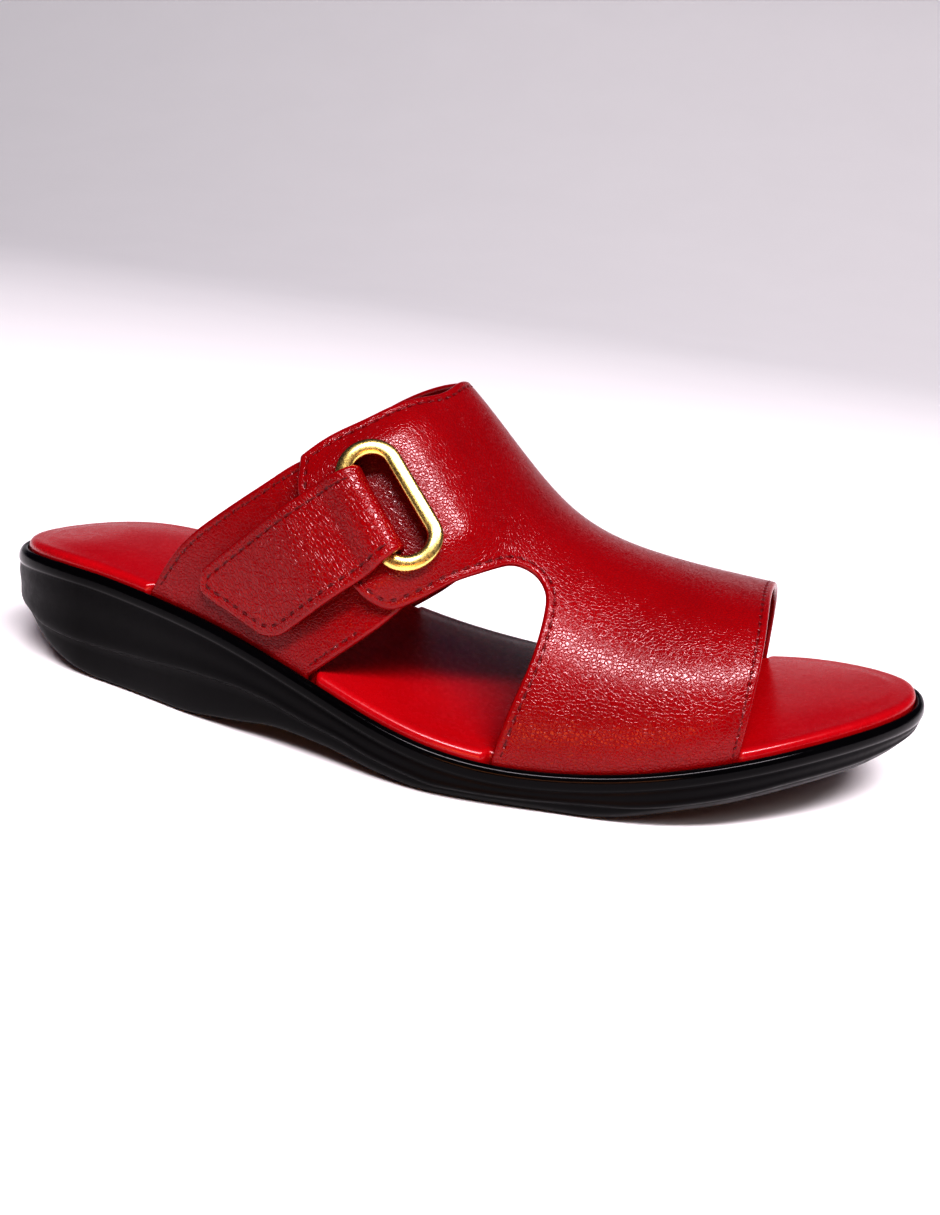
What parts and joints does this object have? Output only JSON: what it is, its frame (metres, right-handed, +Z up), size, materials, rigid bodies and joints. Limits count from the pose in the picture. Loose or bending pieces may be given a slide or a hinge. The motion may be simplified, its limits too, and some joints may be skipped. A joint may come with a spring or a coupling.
{
  "type": "slip-on wedge sandal",
  "caption": "Right-foot slip-on sandal with an open toe and heel, cut-out sides, a folded tab through a long ring and a low wedge sole.",
  "frame": {"origin": "on the floor, under the middle of the sole's length and width", "axes": "+X to the toe, +Y to the inner side of the foot, +Z up; the outer side with the ring is -Y"},
  "size_m": [0.252, 0.1024, 0.0917],
  "materials": {
    "black_sole": "satin moulded black with a glossy lip",
    "red_footbed": "smooth satin red",
    "red_leather": "semi-gloss pebbled red",
    "gold_ring": "polished pale gold"
  },
  "bodies": {
    "root": {"sole": "black_sole", "insole": "red_footbed", "upper": "red_leather", "side_strap": "red_leather", "closure_tab": "red_leather", "ring": "gold_ring"}
  },
  "joints": []
}
